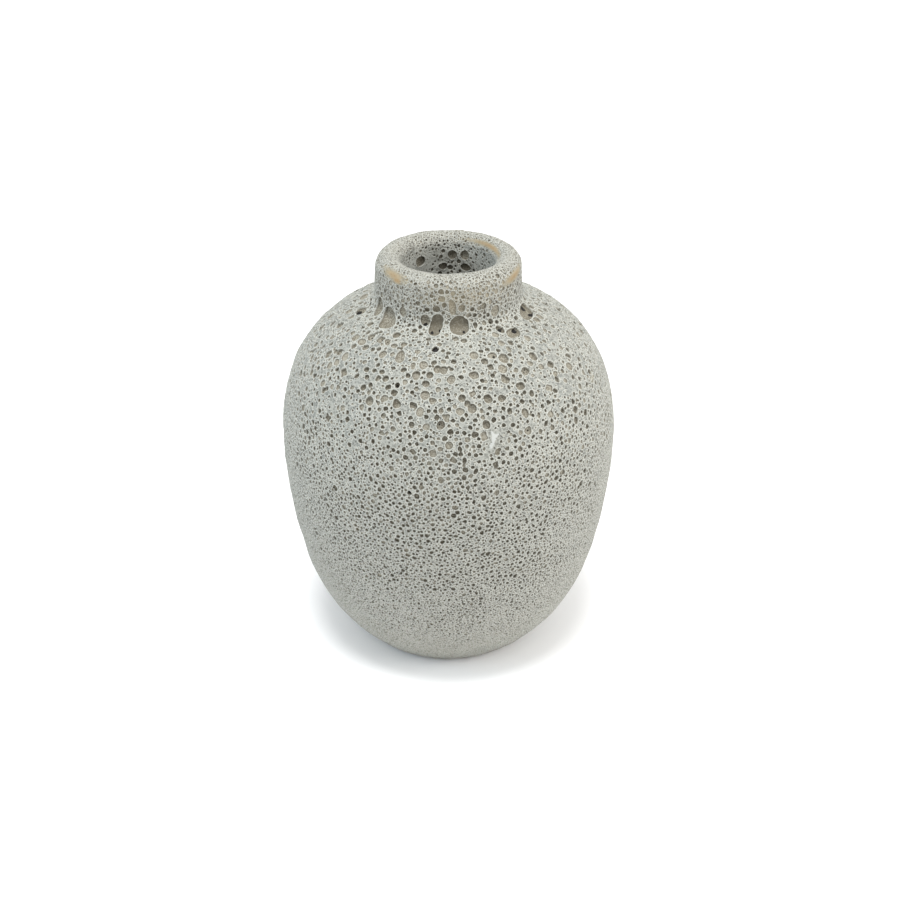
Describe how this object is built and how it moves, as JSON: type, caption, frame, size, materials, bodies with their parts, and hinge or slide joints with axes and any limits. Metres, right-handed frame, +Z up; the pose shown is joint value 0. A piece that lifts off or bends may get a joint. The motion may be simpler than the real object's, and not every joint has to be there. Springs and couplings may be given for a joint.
{
  "type": "bud vase",
  "caption": "Small round-shouldered ceramic bud vase with a squat thick-lipped collar and a foamed crater glaze, holding a stem or two of flowers.",
  "frame": {"origin": "middle of the ring face that the vase stands on", "axes": "+Z up along the vase's axis of revolution; -Y is the front"},
  "size_m": [0.09, 0.09, 0.1124],
  "materials": {
    "stoneware": "bare fired stoneware, fine sanded grain",
    "base_glaze": "smooth satin taupe undercoat",
    "crater_glaze": "matte pale grey foamed glaze with burst craters that show the undercoat",
    "liner_glaze": "smooth satin taupe glaze"
  },
  "bodies": {
    "root": {"stoneware_body": "stoneware", "base_glaze": "base_glaze", "crater_glaze": "crater_glaze", "liner_glaze": "liner_glaze"}
  },
  "joints": []
}
